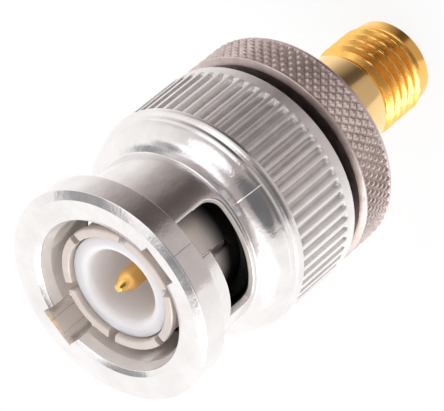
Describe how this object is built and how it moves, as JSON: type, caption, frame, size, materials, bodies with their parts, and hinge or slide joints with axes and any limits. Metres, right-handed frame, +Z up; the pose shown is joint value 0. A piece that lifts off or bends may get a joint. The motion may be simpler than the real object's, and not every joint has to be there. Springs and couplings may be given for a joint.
{
  "type": "rf adapter",
  "caption": "Coaxial adapter with a bayonet plug under a ribbed, spring-held turning nut at one end and a threaded gold jack at the other.",
  "frame": {"origin": "centre of the jack's end face, which the adapter stands on", "axes": "+Z up the axis to the rim of the coupling nut; the stud slots of the nut lie near +Y and -Y"},
  "size_m": [0.0154, 0.0154, 0.0292],
  "materials": {
    "bright_nickel": "die-cast and bright nickel plated, slightly soft sheen, fine casting texture",
    "body_nickel": "turned and nickel plated, diamond knurl on the ring",
    "contact_nickel": "nickel plated, warm satin sheen",
    "gold_plate": "polished gold plate",
    "white_insulator": "smooth white fluoropolymer, waxy",
    "gasket_rubber": "black silicone rubber",
    "spring_steel": "plain spring steel strip"
  },
  "bodies": {
    "connector": {"front_body": "body_nickel", "rear_body": "body_nickel", "outer_contact": "contact_nickel", "interface_gasket": "gasket_rubber", "bnc_insulator": "white_insulator", "bnc_pin": "gold_plate", "sma_body": "gold_plate", "sma_insulator": "white_insulator", "sma_socket": "gold_plate", "rear_wave_washer": "spring_steel", "front_wave_washer": "spring_steel"},
    "washer": {"thrust_washer": "spring_steel"},
    "nut": {"coupling_nut": "bright_nickel", "snap_ring": "spring_steel"}
  },
  "joints": [
    {"name": "nut_pull", "type": "slide", "parent": "connector", "child": "washer", "axis": [0, 0, 1], "range_m": [0, 0.0008], "stiffness_N_per_m": 1500, "springref_m": -0.0005, "deforming": ["front_wave_washer", "rear_wave_washer"]},
    {"name": "nut_turn", "type": "hinge", "parent": "washer", "child": "nut", "pos_m": [0, 0, 0.016], "axis": [0, 0, 1], "continuous": true}
  ]
}
